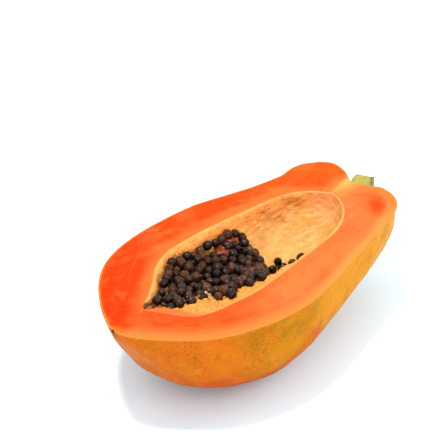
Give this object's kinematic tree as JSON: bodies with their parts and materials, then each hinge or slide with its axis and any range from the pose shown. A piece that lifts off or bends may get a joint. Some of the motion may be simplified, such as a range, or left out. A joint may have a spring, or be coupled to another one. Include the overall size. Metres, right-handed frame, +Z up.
{
  "type": "papaya half",
  "caption": "Half of a ripe papaya cut lengthwise, lying on its back, with orange flesh, a hollow heaped with round dark seeds and a short cut stalk.",
  "frame": {"origin": "on the surface that the half lies on, under the middle of its bounding box", "axes": "+X from the blossom end to the stalk, +Y to the far side of the cut face, +Z up, square to the cut face"},
  "size_m": [0.2454, 0.147, 0.0783],
  "materials": {
    "fruit": "satin",
    "stalk": "matte",
    "seed": "gloss"
  },
  "bodies": {
    "root": {"fruit_half": "fruit", "stalk": "stalk", "seed_heap": "seed", "seed_loose_1": "seed", "seed_loose_2": "seed", "seed_loose_3": "seed", "seed_loose_4": "seed", "seed_loose_5": "seed", "seed_loose_6": "seed", "seed_loose_7": "seed"}
  },
  "joints": []
}
